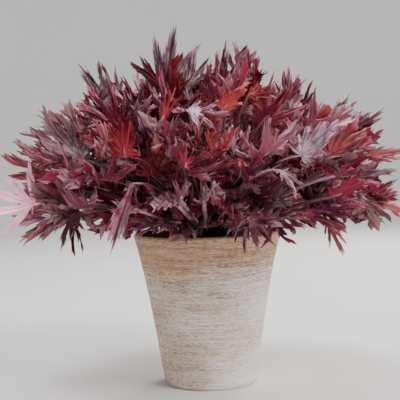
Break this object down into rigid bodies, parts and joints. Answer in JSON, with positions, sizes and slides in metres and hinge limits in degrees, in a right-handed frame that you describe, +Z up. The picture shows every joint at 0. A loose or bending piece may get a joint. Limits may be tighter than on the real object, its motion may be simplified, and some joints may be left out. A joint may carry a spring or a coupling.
{
  "type": "potted heuchera",
  "caption": "Potted heuchera: frilly, deeply cut burgundy and silver-lilac leaves arch from a woody crown in a tapered, whitewashed terracotta pot that stands on its flat foot.",
  "frame": {"origin": "centre of the pot's foot, on the surface that the pot stands on, which is also the bottom centre of the plant's box", "axes": "+Z up along the pot's axis; -Y is the side that faces the viewer; +X to the viewer's right"},
  "size_m": [0.4676, 0.4339, 0.4091],
  "materials": {
    "whitewashed_terracotta": "matt fired clay under a thin, brushed, turned whitewash that lets the warm clay show in bands",
    "potting_mix": "dark, crumbly, moist peat and bark mix",
    "crown_bark": "matt woody stem with old leaf scars",
    "burgundy_leaf": "satin burgundy leaf with paler veins and a light bloom",
    "silver_leaf": "satin leaf with a silver-lilac bloom between burgundy veins",
    "red_leaf": "thin brick-red leaf that lets light through, with paler red veins",
    "wine_leaf": "very dark wine-red leaf with a satin sheen",
    "pink_leaf": "pale pink young leaf",
    "withered_leaf": "dry, curled brown leaf"
  },
  "bodies": {
    "root": {"pot": "whitewashed_terracotta", "potting_mix": "potting_mix", "crown": "crown_bark", "top_leaf_01": "silver_leaf", "top_leaf_02": "silver_leaf", "top_leaf_03": "burgundy_leaf", "top_leaf_04": "red_leaf", "top_leaf_05": "wine_leaf", "top_leaf_06": "silver_leaf", "top_leaf_07": "red_leaf", "top_leaf_08": "burgundy_leaf", "upper_leaf_01": "silver_leaf", "upper_leaf_02": "burgundy_leaf", "upper_leaf_03": "red_leaf", "upper_leaf_04": "wine_leaf", "upper_leaf_05": "silver_leaf", "upper_leaf_06": "burgundy_leaf", "upper_leaf_07": "burgundy_leaf", "upper_leaf_08": "silver_leaf", "upper_leaf_09": "burgundy_leaf", "upper_leaf_10": "red_leaf", "upper_leaf_11": "wine_leaf", "upper_leaf_12": "silver_leaf", "upper_leaf_13": "burgundy_leaf", "upper_leaf_14": "burgundy_leaf", "upper_leaf_15": "silver_leaf", "upper_leaf_16": "burgundy_leaf", "upper_leaf_17": "red_leaf", "middle_leaf_01": "wine_leaf", "middle_leaf_02": "silver_leaf", "middle_leaf_03": "silver_leaf", "middle_leaf_04": "burgundy_leaf", "middle_leaf_05": "silver_leaf", "middle_leaf_06": "burgundy_leaf", "middle_leaf_07": "red_leaf", "middle_leaf_08": "wine_leaf", "middle_leaf_09": "silver_leaf", "middle_leaf_10": "burgundy_leaf", "middle_leaf_11": "burgundy_leaf", "middle_leaf_12": "silver_leaf", "middle_leaf_13": "burgundy_leaf", "middle_leaf_14": "red_leaf", "middle_leaf_15": "wine_leaf", "middle_leaf_16": "silver_leaf", "middle_leaf_17": "pink_leaf", "middle_leaf_18": "withered_leaf", "middle_leaf_19": "silver_leaf", "skirt_leaf_01": "burgundy_leaf", "skirt_leaf_02": "red_leaf", "skirt_leaf_03": "wine_leaf", "skirt_leaf_04": "wine_leaf", "skirt_leaf_05": "burgundy_leaf", "skirt_leaf_06": "burgundy_leaf", "skirt_leaf_07": "silver_leaf", "skirt_leaf_08": "burgundy_leaf", "skirt_leaf_09": "red_leaf", "skirt_leaf_10": "wine_leaf"}
  },
  "joints": []
}
